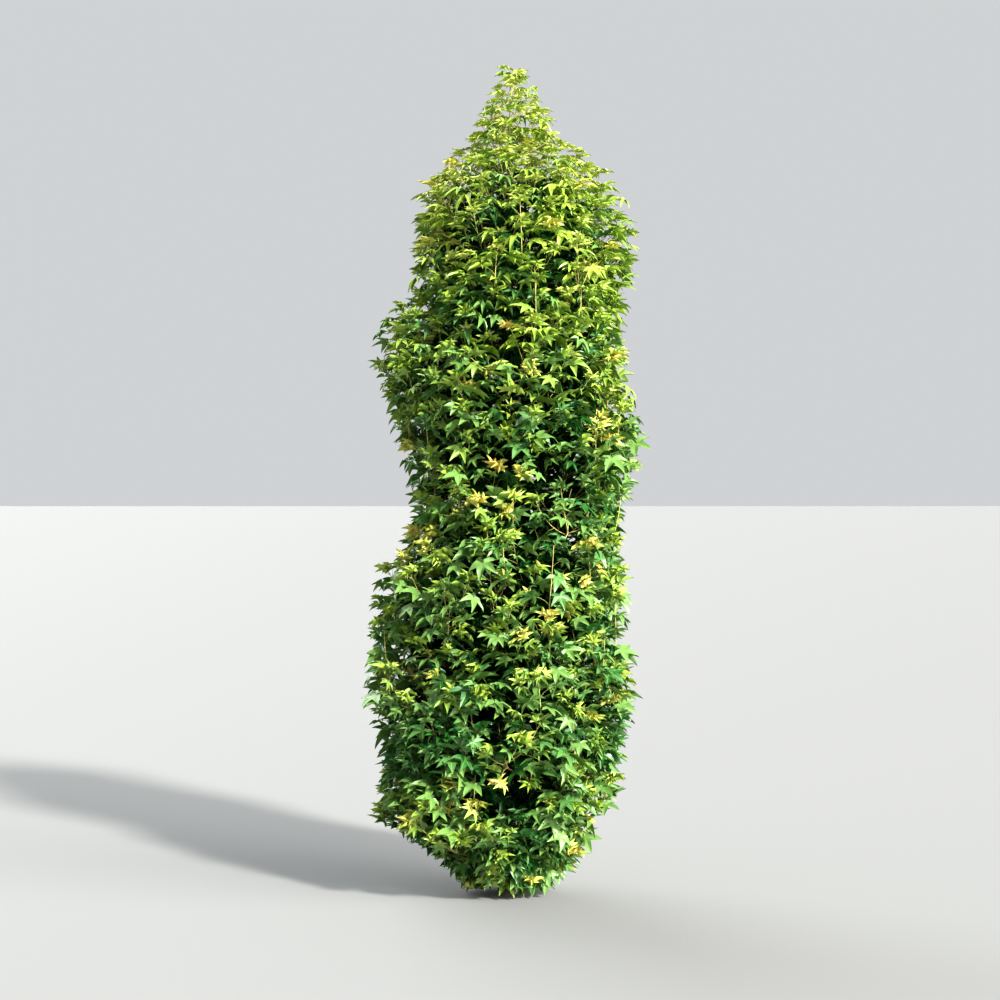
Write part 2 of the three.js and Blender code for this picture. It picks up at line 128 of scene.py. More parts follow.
# Hollows of the crown's surface between two masses
HOLLOW_DEPTH = 0.04  # share of the crown's reach
HOLLOW_WIDTH = 0.045
SPIRE = (2.7, 0.2)  # height from which they fade, and over how much
FOOT_LAYER = 0.36  # below it they fade too, shoots bend less and no leaf is in deep shade

# Finer shoots, which end all through the crown: height, and how far apart they end there
SHOOT_APART = np.array([
    [0.05, 0.06], [0.22, 0.098], [0.8, 0.099], [1.4, 0.093], [2.0, 0.1], [2.9, 0.087], [3.3, 0.055],
])
SHOOT_TRIES = 70000
LOWEST_SHOOT = 0.035
SHOOT_ENDS = (0.1, 0.89)  # shares of the crown's reach between which they end
SHOOT_SCATTER = 0.012
SHOOT_SEED = 11

# Where on a limb a shoot starts: at the nearest place, unless it would lie too flat from there
LEAST_RISE = 0.05
STEEPNESS = 0.7  # added to the least rise for each metre of run
FLATNESS_COST = 2.5  # metres of distance that a metre too little rise counts as

# Shares of its run and of its rise at which a shoot bends, at the ground and above the foot's layer
FOOT_BEND = (0.45, 0.5)
BEND_RUNS = (0.6, 0.82)
BEND_RISES = (0.2, 0.42)

# Nearly upright shoots that some of the outer ones carry
LEADING_LENGTHS = (0.16, 0.28)
LEADING_LEANS = (-0.05, 0.2)  # away from the trunk, as a share of the length
LEADING_SHARE = 0.2  # of the outer shoots that carry one, where it fits
LEADING_FROM = 0.66  # share of the crown's reach from which a shoot counts as an outer one
LEADING_BELOW_TOP = 0.12
LEADING_BOW = 0.012
STRAY_REACH = 0.12  # by how much further the most vigorous may end, as a share of the reach

# Leaves along a shoot, from its tip down
LEAVES_PER_SHOOT = 16
TUFT_LEAVES = 4  # that stand closer together at the tip
FIRST_LEAF = 0.003
TUFT_SPACING = 0.006
LEAF_SPACING = 0.0245
LEAF_SCATTER = 0.008
LEAF_STEP = 0.02  # share of the shoot, for its direction
LEAFY_LENGTH = 0.42
BARE_SHARE = 0.12  # of a shoot, at its root
BARE_MIDDLE = 0.1  # most of the crown's reach about the trunk that may be bare
VIGOURS = (0.85, 1.2)  # least and most spacing, beside the usual
LEAF_TURN = math.radians(137.508)  # from one leaf to the next
GROWN_AFTER = (0.09, 0.14)  # distance from the tip at which a leaf is full grown, foot and top
GROWN_BLEND = 2  # height from which the top's distance holds
LEAF_SEED = 12

# How fresh and vigorous shoots stand together in clumps
CLUMP_WAVES = 7
CLUMP_LENGTH = 0.42
CLUMP_SCATTER = 1.4

# How far leaves reach
LEAF_OUTER = 1.065  # share of the crown's reach that the tips of leaves keep within
RAGGED = 0.1  # by how much less the leaves of the least vigorous shoots reach
WIDEST = 0.578  # how far any part of a leaf may lie from the trunk's foot along X or Y
LOWEST_LEAF = 0.3 * GROUND_CLEARANCE
HIGHEST_LEAF = TREE_HEIGHT - 0.005
STALK_SHARES = (1, 0.7, 0.45, 0.25)  # of its usual length, tried until the blade fits

# How leaves hang. A growth is a power of the leaf's age, and a scale is the least and most
# beside the usual. Other pairs are for the youngest leaf and a grown one on stalks, and for
# the foot and the top of the tree on blades.
STALK_LENGTHS = (0.012, 0.085)
STALK_GROWTH = 0.8
STALK_SCALE = (0.7, 1.25)
STALK_OUTWARD = (0.2, 0.75)  # how far it leans away from the trunk
STALK_ONWARD = (1.3, 0.45)  # how far it follows the shoot
STALK_SAG = 0.12  # share of a grown leaf's stalk by which its end hangs down
TOP = (1.9, 0.9)  # height from which blades take on the top's stance, and over how much
BLADE_OUTWARD = 0.35  # how far they turn away from the trunk
YAW_SPREAD = (2.2, 3.2)  # in radians, as for the roll
YOUNG_PITCH = (50, 24)  # degrees above the level
GROWN_PITCH = (-13, -4)
PITCH_GROWTH = 0.6
PITCH_SPREAD = (80, 34)
LOW_PITCH = 39  # degrees that the lowest leaves hang down further
LOW_BLEND = 0.2  # height over which that is lost
ROLL_SPREAD = (1.7, 0.8)
BUD_LEAF_LENGTH = 0.04
BLADE_GROWTH = 0.75
BLADE_SCALE = (0.7, 1.18)
YOUNG_DROOP = 0.08
GROWN_DROOP = (0.22, 0.6)
DROOP_GROWTH = 0.7
DROOP_SCALE = (0.5, 1.5)
DROOP_CURVE = 1.1  # power of the squared distance from the stalk by which a blade falls
FOOT_FOLDS = (1.0, 3.4)  # least and most fold of a blade at the foot, and at the top
TOP_FOLDS = (0.5, 2.0)
TOP_BREADTH = 0.25  # how far a leaf at the top takes on the grown outline
RIPPLE = 0.02
DRAWS_PER_LEAF = 7

# A grown leaf's length from the blade's root to its longest tip, by height
LEAF_LENGTHS = np.array([
    [0, 0.074], [0.4, 0.076], [1.0, 0.071], [1.8, 0.070], [2.5, 0.08], [3.3, 0.072],
])

# Deep shade, where leaves are made of fewer faces and take the darkest tones as painted shade
INNER_SHARE = 0.64  # share of the crown's reach within which it lies
INNER_COVER = 0.16  # the place this far above a leaf has to lie within it too
INNER_TOP = 2.85

UP = np.array([0.0, 0.0, 1.0])
TINY = 1e-6  # keeps a direction from being nothing


def lerp(start, end, share):
    return start + (end - start) * share


def ramp(value, start, length):
    """0 up to the start, 1 from a length beyond it, and in proportion between them"""
    return np.clip((value - start) / length, 0, 1)


def unit(vectors):
    return vectors / np.maximum(np.linalg.norm(vectors, axis=-1, keepdims=True), 1e-12)


def turned(vectors, towards, angle):
    """Vectors turned by an angle towards others that are at right angles to them"""
    return vectors * np.cos(angle) + towards * np.sin(angle)


def horizontal(azimuth):
    azimuth = np.asarray(azimuth, float)
    return np.stack([np.cos(azimuth), np.sin(azimuth), np.zeros_like(azimuth)], axis=-1)


def seeded(seed):
    """The source's generator of numbers from 0 to 1"""
    state = seed * 7919 + 17
    while True:
        state = (state * 48271) % 2147483647
        yield state / 2147483647


def at_height(table, height, column=1):
    """A column's value, from a table whose first column is the height"""
    return np.interp(height, table[:, 0], table[:, column])


def trunk_axis(height):
    height = np.asarray(height, float)
    swing = SWAY * (1 - np.cos(2 * np.pi * height / SWAY_LENGTH)) / 2
    return np.stack([swing, -FORWARD_SWAY * swing * height / TREE_HEIGHT, height], axis=-1)


def crown_reach(height, azimuth):
    left = at_height(CROWN_OUTLINE, height, 1)
    right = at_height(CROWN_OUTLINE, height, 2)
    return (left + right) / 2 + (right - left) / 2 * np.cos(azimuth)


def share_of_reach(points):
    """0 on the trunk's line, 1 at the crown's outline"""
    out = points - trunk_axis(points[..., 2])
    reach = crown_reach(points[..., 2], np.arctan2(out[..., 1], out[..., 0]))
    return np.hypot(out[..., 0], out[..., 1]) / reach


def outward(points):
    """The horizontal direction away from the trunk"""
    out = points - trunk_axis(points[..., 2])
    return unit(out * [1, 1, 0])


def bezier(start, bend, end, share):
    share = np.asarray(share, float)[..., None]
    return (1 - share) ** 2 * start + 2 * share * (1 - share) * bend + share**2 * end


# The skeleton: where each bough, stem and twig lies


def place_masses():
    masses = []
    for index in range(BOUGH_COUNT):
        share = index / (BOUGH_COUNT - 1)
        height = lerp(LOWEST_MASS, HIGHEST_MASS, share)
        azimuth = FIRST_AZIMUTH + index * SPIRAL
        out = horizontal(azimuth)
        rise = min(RISE, RISE_SHARE * height)
        root_height = height - rise
        tip_height = root_height + TIP_RISE * rise
        end_height = min(height + STEM_RISE, TREE_HEIGHT - STEM_BELOW_TOP)
        root = trunk_axis(root_height)
        tip = trunk_axis(tip_height) + out * TIP_REACH * crown_reach(height, azimuth)
        run = tip - root
        bend = root + out * BEND_RUN * run.dot(out) + UP * BEND_RISE * run[2]
        side = ["right", "back", "left", "front"][round(azimuth / (math.pi / 2)) % 4]
        masses.append({
            "index": index,
            "name": f"{index + 1:02d}_{side}",
            "out": out,
            "side": horizontal(azimuth + math.pi / 2),
            "bough": (root, bend, tip),
            "heading": unit(tip - bend),
            "tip": tip,
            "centre": trunk_axis(height) + out * MIDDLE_REACH * crown_reach(height, azimuth),
            "stem_end": trunk_axis(end_height) + out * STEM_REACH * crown_reach(end_height, azimuth),
            "thickness": lerp(1, TOP_SCALE, share),
        })
    masses.append(leader_mass())
    return masses


def leader_mass():
    tip = trunk_axis(TRUNK_HEIGHT)
    return {
        "index": BOUGH_COUNT,
        "name": "leader",
        "out": horizontal(LEADER_AZIMUTH),
        "side": horizontal(LEADER_AZIMUTH + math.pi / 2),
        "bough": None,
        "heading": unit(tip - trunk_axis(TRUNK_HEIGHT - LEADER_STEP)),
        "tip": tip,
        "centre": trunk_axis(TRUNK_HEIGHT + LEADER_MIDDLE),
        "stem_end": trunk_axis(TREE_HEIGHT - LEADER_BELOW_TIP),
        "thickness": TOP_SCALE,
    }


MASSES = place_masses()
CENTRES = np.array([mass["centre"] for mass in MASSES])


def centre_distances(points):
    """From each point to the middle of every mass"""
    return np.linalg.norm(points[:, None] - CENTRES[None], axis=2)


def owner_of(points):
    """The mass in whose space each point lies"""
    return centre_distances(points).argmin(axis=1)


def outer_limit(points):
    """The share of the crown's reach that leaves fill: less in the hollows between two masses"""
    flat = points.reshape(-1, 3)
    near = np.sort(centre_distances(flat), axis=1)
    between = np.exp(-(near[:, 1] - near[:, 0]) / HOLLOW_WIDTH)
    spire = ramp(flat[:, 2], *SPIRE)
    foot = 1 - ramp(flat[:, 2], 0, FOOT_LAYER)
    return 1 - (HOLLOW_DEPTH * between * (1 - spire) * (1 - foot)).reshape(points.shape[:-1])


def keeps_to_space(mass, points, radius):
    distances = centre_distances(points)
    own = distances[:, mass["index"]]
    others = np.delete(distances, mass["index"], axis=1).min(axis=1)
    return bool((others > own + SPACE_GAP + 2 * radius).all())


def stem_of(mass):
    """The stem that carries on from a bough's tip, shortened until it keeps to its mass's space"""
    start = mass["tip"] + mass["heading"] * JOIN_GAP
    for step in range(STEM_TRIES):
        end = lerp(start, mass["stem_end"], STEM_SHORTENING**step)
        bend = start + mass["heading"] * STEM_BEND * np.linalg.norm(end - start)
        points = bezier(start, bend, end, CHECKED_PLACES)
        if keeps_to_space(mass, points, BOUGH_TIP_RADIUS * mass["thickness"]):
            break
    return start, bend, end


def rotated(vector, angle):
    """A horizontal vector turned about the vertical"""
    x, y, _ = vector
    cos, sin = math.cos(angle), math.sin(angle)
    return np.array([x * cos - y * sin, x * sin + y * cos, 0])


def twigs_of(mass, stem):
    """A mass's twigs, each as long as its mass's space and the crown's outline allow"""
    twigs = []
    random = seeded(mass["index"] + 1)
    for k in range(TWIGS_PER_MASS):
        share = lerp(*TWIG_PLACES, k / (TWIGS_PER_MASS - 1))
        roll = (1 if k % 2 else -1) * lerp(*TWIG_ROLLS, next(random))
        origin = bezier(*stem, share)
        along = unit(bezier(*stem, share + TWIG_STEP) - origin)
        heading = unit(rotated(mass["out"], roll) * TWIG_SPREAD + along * TWIG_ALONG)
        length = TWIG_LENGTH
        while length > SHORTEST_TWIG:
            end = origin + heading * length
            points = np.array([lerp(origin, end, place) for place in CHECKED_PLACES])
            fits = keeps_to_space(mass, points, TWIG_ROOM)
            if fits and share_of_reach(end) <= TWIG_END_REACH and end[2] > 2 * GROUND_CLEARANCE:
                twigs.append((origin, lerp(origin, end, 0.5), end))
                break
            length *= TWIG_SHORTENING
    return twigs


def shoot_ends(random):
    """Places all through the crown, no two of them near"""
    widest = CROWN_OUTLINE[:, 1:].max()
    points = lerp(
        np.array([-widest, -widest, LOWEST_SHOOT]),
        np.array([widest, widest, TREE_HEIGHT]),
        random.random((SHOOT_TRIES, 3)),
    )
    share = share_of_reach(points)
    innermost, outermost = SHOOT_ENDS
    points = points[(share > innermost) & (share < outermost * outer_limit(points))]
    kept = np.empty_like(points)
    count = 0
    for point, gap in zip(points, at_height(SHOOT_APART, points[:, 2])):
        if ((kept[:count] - point) ** 2).sum(axis=1).min(initial=np.inf) > gap**2:
            kept[count] = point
            count += 1
    return kept[:count]


def shoot_start(end, places):
    """The place on its mass's limbs that a shoot starts from"""
    run = end - places
    wanted = LEAST_RISE + STEEPNESS * np.hypot(run[:, 0], run[:, 1])
    cost = np.linalg.norm(run, axis=1) + FLATNESS_COST * np.maximum(0, wanted - run[:, 2])
    return places[cost.argmin()]


def grow_shoots(limbs, random):
    """A shoot to each place that shoot_ends finds: starts, bends, ends and owning masses"""
    ends = shoot_ends(random)
    owners = owner_of(ends)
    starts = np.array([shoot_start(end, limbs[owner]) for end, owner in zip(ends, owners)])
    run = ends - starts
    rise = run[:, 2:] * UP
    high = ramp(starts[:, 2:], 0, FOOT_LAYER)
    foot_run, foot_rise = FOOT_BEND
    bends = starts + (run - rise) * lerp(foot_run, lerp(*BEND_RUNS, random.random((len(ends), 1))), high)
    bends += rise * lerp(foot_rise, lerp(*BEND_RISES, random.random((len(ends), 1))), high)
    bends += random.normal(0, SHOOT_SCATTER, bends.shape)
    return add_leading_shoots((starts, bends, ends, owners), random)


def add_leading_shoots(shoots, random):
    """Some of the outer shoots carry a nearly upright one at their end"""
    starts, bends, ends, owners = shoots
    vigour = random.random((len(ends), 1))
    length = lerp(*LEADING_LENGTHS, vigour)
    lean = outward(ends) * length * lerp(*LEADING_LEANS, random.random((len(ends), 1)))
    tips = ends + UP * length + lean
    tips += random.normal(0, SHOOT_SCATTER, tips.shape)
    fits = share_of_reach(ends) > LEADING_FROM
    fits &= share_of_reach(tips) < SHOOT_ENDS[1] + STRAY_REACH * vigour[:, 0]
    fits &= tips[:, 2] < TREE_HEIGHT - LEADING_BELOW_TOP
    fits &= random.random(len(ends)) < LEADING_SHARE
    middles = (lerp(ends, tips, 0.5) + outward(ends) * LEADING_BOW)[fits]
    return (
        np.concatenate([starts, ends[fits]]),
        np.concatenate([bends, middles]),
        np.concatenate([ends, tips[fits]]),
        np.concatenate([owners, owner_of(tips[fits])]),
    )


# Meshes as corners and faces


def joined(first, second):
    """Two meshes in one"""
    corners = np.concatenate([first[0], second[0]])
    faces = np.concatenate([first[1], second[1] + len(first[0])])
    return corners, faces


def tubes(points, radii, side, sides, closed=True):
    """Tubes along many lines: points (lines, rings, 3), radii (lines, rings) and a
    direction for each line that it never runs along"""
    lines, rings = radii.shape
    ahead = unit(np.gradient(points, axis=1))
    second = unit(np.cross(ahead, side[:, None]))
    first = np.cross(second, ahead)
    angle = 2 * np.pi * np.arange(sides) / sides
    ring = first[:, :, None] * np.cos(angle)[:, None] + second[:, :, None] * np.sin(angle)[:, None]
    skin = points[:, :, None] + ring * radii[:, :, None, None]
    corners = np.concatenate([skin.reshape(lines, -1, 3), points[:, [0, -1]]], axis=1)
    return corners.reshape(-1, 3), tube_faces(lines, rings, sides, closed)


def tube_faces(lines, rings, sides, closed=True):
    """The faces of tubes whose corners run ring by ring, with the middles of both ends last"""
    here = np.arange(rings - 1)[:, None] * sides + np.arange(sides)
    beside = np.arange(rings - 1)[:, None] * sides + (np.arange(sides) + 1) % sides
    wall = [
        np.stack([here, beside, beside + sides], axis=-1).reshape(-1, 3),
        np.stack([here, beside + sides, here + sides], axis=-1).reshape(-1, 3),
    ]
    around = np.arange(sides)
    after = (around + 1) % sides
    foot = np.stack([after, around, np.full(sides, rings * sides)], axis=-1)
    last = (rings - 1) * sides
    tip = np.stack([last + around, last + after, np.full(sides, rings * sides + 1)], axis=-1)
    one = np.concatenate([*wall, foot, tip] if closed else wall)
    return (one[None] + (np.arange(lines) * (rings * sides + 2))[:, None, None]).reshape(-1, 3)


# The star-shaped blade of one leaf

# Corners of one lobe besides its tip: place along it and half width, on its rib and on its
# edge. At the edge, the width and the height above the rib are shares of the blade's own.
RIB_SPOTS = ((0.33, 0.012), (0.66, 0.008))
EDGE_SPOTS = ((0.55, 1, 1), (0.8, 0.5, 0.6))
NOTCH_LIFT = 1.2  # height of a notch, as a share of the blade's own

LOBE_ANGLES = np.radians([122, 60, 0, -60, -122])
NOTCH_ANGLES = np.radians([166, 91, 30, -30, -91, -166])
LOBE_CORNERS = 2 * (len(RIB_SPOTS) + len(EDGE_SPOTS)) + 1
FIRST_NOTCH = 1 + len(LOBE_ANGLES) * LOBE_CORNERS


def leaf_template(lobes, notches, width, lift):
    """The corners of a star-shaped blade of length 1 and how far each stands above its ribs"""
    spots = [(place, half, 0) for place, half in RIB_SPOTS]
    spots += [(place, wide * width, high * lift) for place, wide, high in EDGE_SPOTS]
    rows = [(0.0, 0.0, 0.0)]
    for angle, length in lobes:
        along = np.array([math.cos(angle), math.sin(angle)])
        across = np.array([-math.sin(angle), math.cos(angle)])
        for place, half, above in spots:
            for sign in (1, -1):
                spot = along * place * length + across * sign * half * length**0.5
                rows.append((*spot, above))
        rows.append((*(along * length), 0.0))
    for angle, length in notches:
        rows.append((length * math.cos(angle), length * math.sin(angle), NOTCH_LIFT * lift))
    return np.array(rows)


GROWN_LEAF = leaf_template(
    zip(LOBE_ANGLES, (0.66, 0.94, 1.0, 0.94, 0.66)),
    zip(NOTCH_ANGLES, (0.12, 0.4, 0.46, 0.46, 0.4, 0.12)),
    width=0.19,
    lift=0.05,
)
YOUNG_LEAF = leaf_template(
    zip(LOBE_ANGLES * 0.8, (0.5, 0.84, 1.0, 0.84, 0.5)),
    zip(NOTCH_ANGLES * [1, 0.85, 0.85, 0.85, 0.85, 1], (0.08, 0.24, 0.3, 0.3, 0.24, 0.08)),
    width=0.085,
    lift=0.1,
)


def leaf_faces():
    """The faces of one blade, and for each whether it is a rib"""
    faces, ribs = [], []
    for lobe in range(len(LOBE_ANGLES)):
        first = 1 + LOBE_CORNERS * lobe
        near, far, wide, narrow, tip = range(first, first + LOBE_CORNERS, 2)
        for sign in (0, 1):
            notch = FIRST_NOTCH + lobe + sign
            half = [
                (0, near + sign, notch),
                (near + sign, wide + sign, notch),
                (near + sign, far + sign, wide + sign),
                (far + sign, narrow + sign, wide + sign),
                (far + sign, tip, narrow + sign),
            ]
            faces += [face if sign == 0 else face[::-1] for face in half]
            ribs += [False] * len(half)
        rib = [(0, near + 1, near), (near, near + 1, far + 1), (near, far + 1, far), (far, far + 1, tip)]
        faces += rib
        ribs += [True] * len(rib)
    return np.array(faces), np.array(ribs)


def inner_leaf_faces():
    """The same outline in fewer faces, for the leaves in deep shade: which corners it uses,
    and its faces"""
    faces = []
    for lobe in range(len(LOBE_ANGLES)):
        first = 1 + LOBE_CORNERS * lobe
        _, _, wide, _, tip = range(first, first + LOBE_CORNERS, 2)
        notch = FIRST_NOTCH + lobe
        faces += [(0, wide, notch), (0, tip, wide), (0, notch + 1, wide + 1), (0, wide + 1, tip)]
    used, faces = np.unique(np.array(faces), return_inverse=True)
    return used, faces.reshape(-1, 3)


LEAF_FACES, LEAF_RIBS = leaf_faces()
INNER_CORNERS, INNER_FACES = inner_leaf_faces()


# Where leaves grow and how they hang


def clumped(points, random):
    """A share from 0 to 1 for each shoot, alike for shoots that end near each other"""
    total = random.normal(0, CLUMP_SCATTER, len(points))
    for _ in range(CLUMP_WAVES):
        way = unit(random.normal(0, 1, 3))
        total += np.sin(2 * np.pi * (points @ way / CLUMP_LENGTH + random.random()))
    return total.argsort().argsort() / len(points)


def leaf_places(shoots, random):
    """Every leaf that the shoots bear, as arrays: where its stalk starts and how old it is"""
    starts, bends, ends, owners = shoots
    count = len(ends)
    length = np.linalg.norm(ends - starts, axis=1)
    turn = random.random(count) * 2 * np.pi
    vigour = lerp(*VIGOURS, random.random(count))
    tint = clumped(ends, random)
    stray = np.maximum(0, share_of_reach(ends) - SHOOT_ENDS[1])
    limit = LEAF_OUTER - RAGGED * (1 - tint) ** 2 + stray
    grown_after = lerp(*GROWN_AFTER, ramp(ends[:, 2], 0, GROWN_BLEND))
    found = []
    for k in range(LEAVES_PER_SHOOT):
        distance = FIRST_LEAF + TUFT_SPACING * min(k, TUFT_LEAVES)
        distance = distance + LEAF_SPACING * max(0, k - TUFT_LEAVES) * vigour
        distance = distance + random.random(count) * LEAF_SCATTER
        share = 1 - distance / length
        root = bezier(starts, bends, ends, share)
        ahead = unit(bezier(starts, bends, ends, share + LEAF_STEP) - root)
        keep = (share > BARE_SHARE) & (distance < LEAFY_LENGTH)
        keep &= share_of_reach(root) > BARE_MIDDLE * random.random(count)
        row = {
            "root": root,
            "ahead": ahead,
            "age": ramp(distance, 0, grown_after),
            "turn": turn + k * LEAF_TURN,
            "tint": tint,
            "limit": limit,
            "owner": owners,
        }
        found.append({key: value[keep] for key, value in row.items()})
    return {key: np.concatenate([part[key] for part in found]) for key in found[0]}


def hang_stalks(places, stalk_share, draws):
    """Where each leaf's stalk starts, bends and ends, at a share of its usual length"""
    root, ahead, age = places["root"], places["ahead"], places["age"][:, None]
    out = outward(root)
    first = unit(np.cross(ahead, np.cross(UP, out)))
    second = np.cross(ahead, first)
    lean = unit(turned(first, second, places["turn"][:, None]) + lerp(*STALK_OUTWARD, age) * out)
    reach = lerp(*STALK_LENGTHS, age**STALK_GROWTH) * lerp(*STALK_SCALE, draws[:, 0:1]) * stalk_share
    way = unit(ahead * lerp(*STALK_ONWARD, age) + lean)
    bend = root + unit(way + 0.5 * ahead) * reach * 0.5
    base = root + way * reach - UP * reach * STALK_SAG * age
    return root, bend, base


def blade_ways(stalk, age, draws, top):
    """The directions along each blade, across it and away from its upper side"""
    root, _, base = stalk
    flat = unit(unit((base - root) * [1, 1, 0] + TINY) + BLADE_OUTWARD * outward(root))
    flat = turned(flat, np.cross(UP, flat), (draws[:, 1:2] - 0.5) * lerp(*YAW_SPREAD, top))
    low = 1 - ramp(root[:, 2:], 0, LOW_BLEND)
    grown = lerp(*GROWN_PITCH, top) - LOW_PITCH * low
    pitch = lerp(lerp(*YOUNG_PITCH, top), grown, age**PITCH_GROWTH)
    pitch = np.radians(pitch + (draws[:, 2:3] - 0.5) * lerp(*PITCH_SPREAD, top))
    forward = turned(flat, UP, pitch)
    normal = turned(UP, -flat, pitch)
    across = np.cross(normal, forward)
    roll = (draws[:, 3:4] - 0.5) * lerp(*ROLL_SPREAD, top)
    return forward, turned(across, normal, roll), turned(normal, -across, roll)


def blade_corners(stalk, age, draws, ripples):
    """The corners of every blade (leaves, corners, 3)"""
    root, _, base = stalk
    top = ramp(root[:, 2:], *TOP)
    forward, across, normal = blade_ways(stalk, age[:, None], draws, top)
    full = at_height(LEAF_LENGTHS, root[:, 2])[:, None]
    size = lerp(BUD_LEAF_LENGTH, full, age[:, None] ** BLADE_GROWTH) * lerp(*BLADE_SCALE, draws[:, 4:5])
    droop = lerp(YOUNG_DROOP, lerp(*GROWN_DROOP, top), age[:, None] ** DROOP_GROWTH)
    droop = droop * lerp(*DROOP_SCALE, draws[:, 5:6])
    fold = lerp(lerp(*FOOT_FOLDS, draws[:, 6:7]), lerp(*TOP_FOLDS, draws[:, 6:7]), top)
    broad = age * lerp(1, TOP_BREADTH, ramp(base[:, 2], *TOP))
    shape = lerp(YOUNG_LEAF[None], GROWN_LEAF[None], broad[:, None, None])
    u, v, lift = shape[..., 0], shape[..., 1], shape[..., 2]
    w = lift * fold - droop * (u**2 + v**2) ** DROOP_CURVE + ripples * (lift > 0)
    local = (
        u[..., None] * forward[:, None]
        + v[..., None] * across[:, None]
        + w[..., None] * normal[:, None]
    )
    return base[:, None] + local * size[:, None]


def keeps_inside(corners, limit):
    """Whether each blade keeps to its limit, above the ground and below the tree's tip"""
    fits = (share_of_reach(corners) < limit[:, None]).all(axis=1)
    fits &= (np.abs(corners[..., :2]) < WIDEST).all(axis=(1, 2))
    fits &= (corners[..., 2] > LOWEST_LEAF).all(axis=1)
    fits &= (corners[..., 2] < HIGHEST_LEAF).all(axis=1)
    return fits


def in_deep_shade(base):
    """Whether each leaf hangs deep inside the crown, by where its blade starts"""
    share = np.maximum(share_of_reach(base), share_of_reach(base + UP * INNER_COVER))
    return (share < INNER_SHARE) & (base[:, 2] > FOOT_LAYER) & (base[:, 2] < INNER_TOP)


def grow_leaves(shoots, random):
    """Leaves that keep to their limit. A stalk is shortened where its blade would reach past
    it, and a leaf that still would is left out."""
    places = leaf_places(shoots, random)
    draws = random.random((len(places["age"]), DRAWS_PER_LEAF))
    ripples = random.normal(0, RIPPLE, (len(places["age"]), len(GROWN_LEAF)))
    kept = []
    for stalk_share in STALK_SHARES:
        stalk = hang_stalks(places, stalk_share, draws)
        corners = blade_corners(stalk, places["age"], draws, ripples)
        fits = keeps_inside(corners, places["limit"] * outer_limit(stalk[2]))
        found = dict(zip(("root", "bend", "base"), stalk), corners=corners)
        found.update({key: places[key] for key in ("age", "tint", "owner")})
        kept.append({key: value[fits] for key, value in found.items()})
        places = {key: value[~fits] for key, value in places.items()}
        draws, ripples = draws[~fits], ripples[~fits]
    leaves = {key: np.concatenate([part[key] for part in kept]) for key in kept[0]}
    leaves["inner"] = in_deep_shade(leaves["base"])
    return leaves


# Colours as the eye sees them, from 0 to 255. Leaves run from painted deep shade and the
# oldest to the youngest; the dark tones also serve as painted shade inside the crown.
LEAF_TONES = {
    "leaf_painted_shade": (12, 54, 14),
    "leaf_deep_and_painted_shade": (24, 76, 26),
    "leaf_dark": (44, 100, 42),
    "leaf_grown": (76, 122, 62),
    "leaf_even": (103, 141, 72),
    "leaf_mid": (130, 160, 69),
    "leaf_fresh": (148, 176, 66),
    "leaf_lime": (164, 190, 80),
    "leaf_yellow_green": (186, 200, 100),
    "leaf_yellow": (202, 204, 100),
    "leaf_bronze": (218, 196, 106),
}
RIB_TONE = ("leaf_rib", (140, 168, 78))
DEEP, LIME, YELLOW_GREEN, YELLOW, BRONZE = [
    list(LEAF_TONES).index(name)
    for name in ("leaf_deep_and_painted_shade", "leaf_lime", "leaf_yellow_green", "leaf_yellow", "leaf_bronze")
]
STALK_TONES = {"stalk_green": (140, 156, 74), "stalk_yellow": (178, 172, 88)}
TWIG_TONES = {"twig_bark": (124, 112, 76), "shoot_tan": (184, 168, 102), "shoot_green": (170, 178, 92)}
TRUNK_BARK = (134, 122, 104)
TRUNK_FURROW = (84, 74, 60)
BOUGH_BARK = (128, 120, 92)
BOUGH_FURROW = (92, 82, 58)
FLOOR_PAPER = (136, 137, 136)

# How a leaf's tone is worked out: a value, of which each tenth is one tone
TONES_PER_VALUE = 10
VALUES_BY_HEIGHT = (0.328, 0.53)  # foot and top
VALUE_TOP = (1.7, 1.4)  # height from which the top's value blends in, and over how much
VALUE_BY_YOUTH = 0.45
VALUE_BY_TINT = 0.3
MIDDLE_TINT = 0.4  # tint that leaves the value as it is
VALUE_SCATTER = 0.07
LIGHTEST_TONES = (4.7, 9)  # for a grown leaf low down, and for a young or high one
LIGHTEST_YOUTH = 1.3
BRIGHT_TINT = 0.865  # shoots above it end in a yellow tuft
YELLOW_GREEN_YOUTH = 0.6  # how young the leaves of each tone are in that tuft
YELLOW_YOUTH = 0.72
BRONZE_YOUTH = 0.8
BRONZE_SHARE = 0.2
# Painted shade: leaves deeper in the crown more often take a dark tone
SHADED_SHARE = 0.85  # share of the crown's reach within which more and more leaves take a dark tone, as painted shade
SHADED_FOOT = 0.5  # height over which that grows from nothing
SHADED_TOP = 3.0  # height at which it ends, and over how much it fades below that
SHADED_BLEND = 0.3
HIGH_SHADE_TONES = 2.9  # tones by which leaves with painted shade high up are lighter
HIGH_SHADE = (1.8, 0.6)  # height from which they are, and over how much
TONE_SEED = 13


